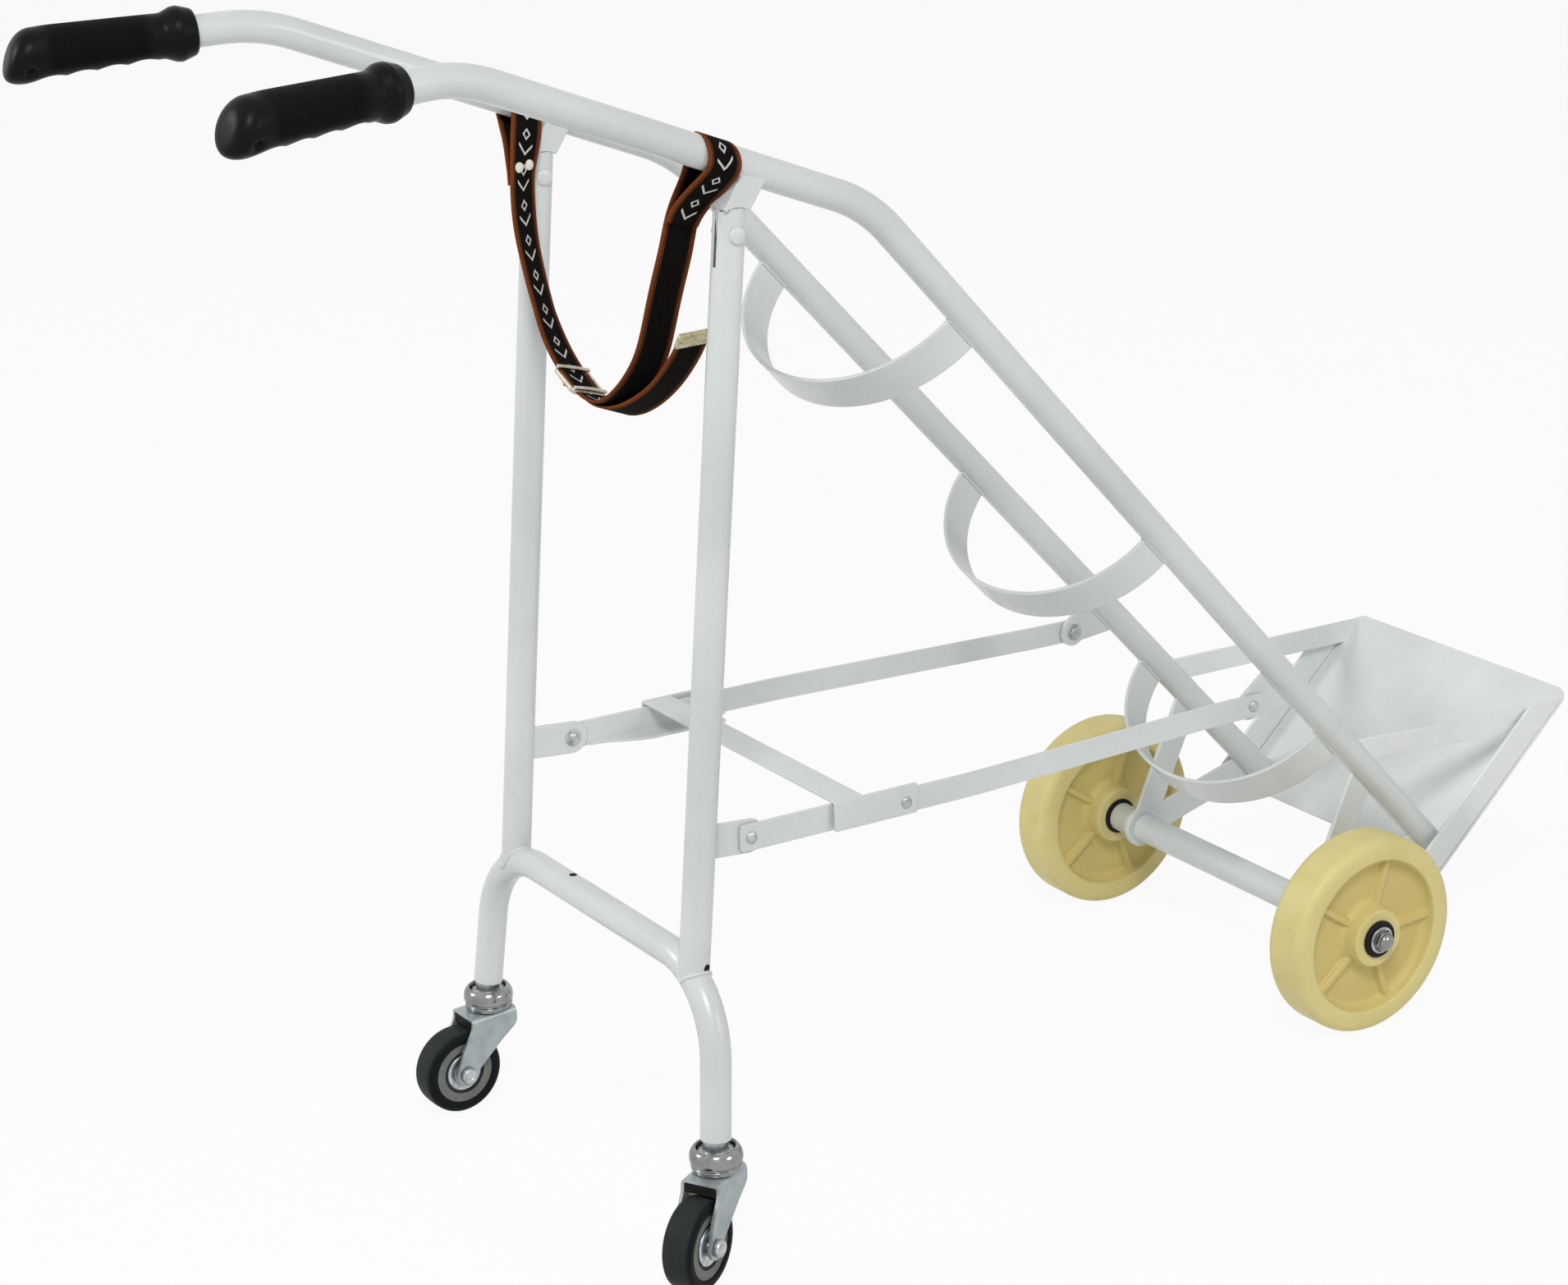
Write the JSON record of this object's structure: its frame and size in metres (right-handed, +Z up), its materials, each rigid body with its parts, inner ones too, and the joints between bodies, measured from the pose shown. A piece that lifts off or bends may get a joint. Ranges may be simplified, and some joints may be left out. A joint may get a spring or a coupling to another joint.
{
  "type": "hand cart",
  "caption": "Folding gas-cylinder hand cart of white steel tube with curved cradles, a foot tray, nylon wheels, swivel-caster legs and a lock bar on folding stays.",
  "frame": {"origin": "on the floor, midway along the length and between the two side rails", "axes": "+X from the hand grips towards the tray, +Y towards the far side, +Z up"},
  "size_m": [1.1465, 0.4005, 0.8692],
  "materials": {
    "white_paint": "satin powder coat",
    "grip_rubber": "matt moulded rubber",
    "zinc_fastener": "bright zinc",
    "chrome_cap": "polished",
    "nylon": "cast cream nylon",
    "black_bush": "matt",
    "zinc_fork": "bluish zinc on pressed sheet",
    "caster_rubber": "dark solid rubber",
    "caster_core": "grey moulded",
    "webbing": "black woven webbing with brown edges",
    "buckle_steel": "nickel-plated",
    "brass_tip": "pale brass",
    "white_rivet": "smooth"
  },
  "bodies": {
    "frame": {"side_rail_near": "white_paint", "side_rail_far": "white_paint", "hand_grip_near": "grip_rubber", "hand_grip_far": "grip_rubber", "leg_bracket_near": "white_paint", "leg_bracket_far": "white_paint", "leg_pins": "zinc_fastener", "rail_tab_near": "white_paint", "rail_tab_far": "white_paint", "stay_bolts": "zinc_fastener", "cradle_low": "white_paint", "cradle_middle": "white_paint", "cradle_top": "white_paint", "tray_plate": "white_paint", "tray_rim_near": "white_paint", "tray_rim_far": "white_paint", "tray_brace_near": "white_paint", "tray_brace_far": "white_paint", "axle_bracket_near": "white_paint", "axle_bracket_far": "white_paint", "axle_tube": "white_paint", "axle": "zinc_fastener", "axle_washers": "zinc_fastener", "axle_nuts": "chrome_cap", "strap_band": "webbing", "strap_tail": "webbing", "strap_buckle": "buckle_steel", "strap_tip": "brass_tip", "strap_rivets": "white_rivet"},
    "leg_frame": {"leg_near": "white_paint", "leg_far": "white_paint", "bridge": "white_paint", "leg_tab_near": "white_paint", "leg_tab_far": "white_paint", "stay_rivets": "zinc_fastener", "caster_stem_near": "chrome_cap", "caster_stem_far": "chrome_cap"},
    "stay_frame": {"long_stay_near": "white_paint", "long_stay_far": "white_paint", "lock_bar": "white_paint", "lock_pins": "zinc_fastener"},
    "short_stay_near": {"short_stay_near": "white_paint"},
    "wheel_near": {"wheel_near": "nylon", "wheel_bushes_near": "black_bush"},
    "caster_fork_near": {"caster_fork_near": "zinc_fork", "caster_bolt_near": "zinc_fastener"},
    "caster_wheel_near": {"caster_tyre_near": "caster_rubber", "caster_hub_near": "caster_core", "caster_caps_near": "zinc_fastener"},
    "short_stay_far": {"short_stay_far": "white_paint"},
    "wheel_far": {"wheel_far": "nylon", "wheel_bushes_far": "black_bush"},
    "caster_fork_far": {"caster_fork_far": "zinc_fork", "caster_bolt_far": "zinc_fastener"},
    "caster_wheel_far": {"caster_tyre_far": "caster_rubber", "caster_hub_far": "caster_core", "caster_caps_far": "zinc_fastener"}
  },
  "joints": [
    {"name": "leg_fold", "type": "hinge", "parent": "frame", "child": "leg_frame", "pos_m": [-0.2082, 0, 0.71982], "axis": [0, -1, 0], "range_deg": [0, 38]},
    {"name": "stay_fold", "type": "hinge", "parent": "frame", "child": "stay_frame", "pos_m": [0.24587, 0, 0.27082], "axis": [0, 1, 0], "range_deg": [0, 38.83]},
    {"name": "short_stay_near_fold", "type": "hinge", "parent": "leg_frame", "child": "short_stay_near", "pos_m": [-0.21763, 0, 0.2943], "axis": [0, -1, 0], "range_deg": [0, 78.94]},
    {"name": "wheel_near_spin", "type": "hinge", "parent": "frame", "child": "wheel_near", "pos_m": [0.313, -0.161, 0.08], "axis": [0, 1, 0], "continuous": true},
    {"name": "caster_near_swivel", "type": "hinge", "parent": "leg_frame", "child": "caster_fork_near", "pos_m": [-0.28534, -0.165, 0.0765], "axis": [0, 0, 1], "continuous": true},
    {"name": "caster_near_roll", "type": "hinge", "parent": "caster_fork_near", "child": "caster_wheel_near", "pos_m": [-0.3136, -0.18002, 0.033], "axis": [-0.4695, 0.8829, 0], "continuous": true},
    {"name": "short_stay_far_fold", "type": "hinge", "parent": "leg_frame", "child": "short_stay_far", "pos_m": [-0.21763, 0, 0.2943], "axis": [0, -1, 0], "range_deg": [0, 78.94]},
    {"name": "wheel_far_spin", "type": "hinge", "parent": "frame", "child": "wheel_far", "pos_m": [0.313, 0.161, 0.08], "axis": [0, 1, 0], "continuous": true},
    {"name": "caster_far_swivel", "type": "hinge", "parent": "leg_frame", "child": "caster_fork_far", "pos_m": [-0.28534, 0.165, 0.0765], "axis": [0, 0, 1], "continuous": true},
    {"name": "caster_far_roll", "type": "hinge", "parent": "caster_fork_far", "child": "caster_wheel_far", "pos_m": [-0.31732, 0.16388, 0.033], "axis": [-0.0349, 0.9994, 0], "continuous": true}
  ],
  "couplings": [
    {"joint": "stay_fold", "follows": "leg_fold", "ratio": 1.0217},
    {"joint": "short_stay_near_fold", "follows": "leg_fold", "ratio": 2.0773},
    {"joint": "short_stay_far_fold", "follows": "leg_fold", "ratio": 2.0773}
  ]
}
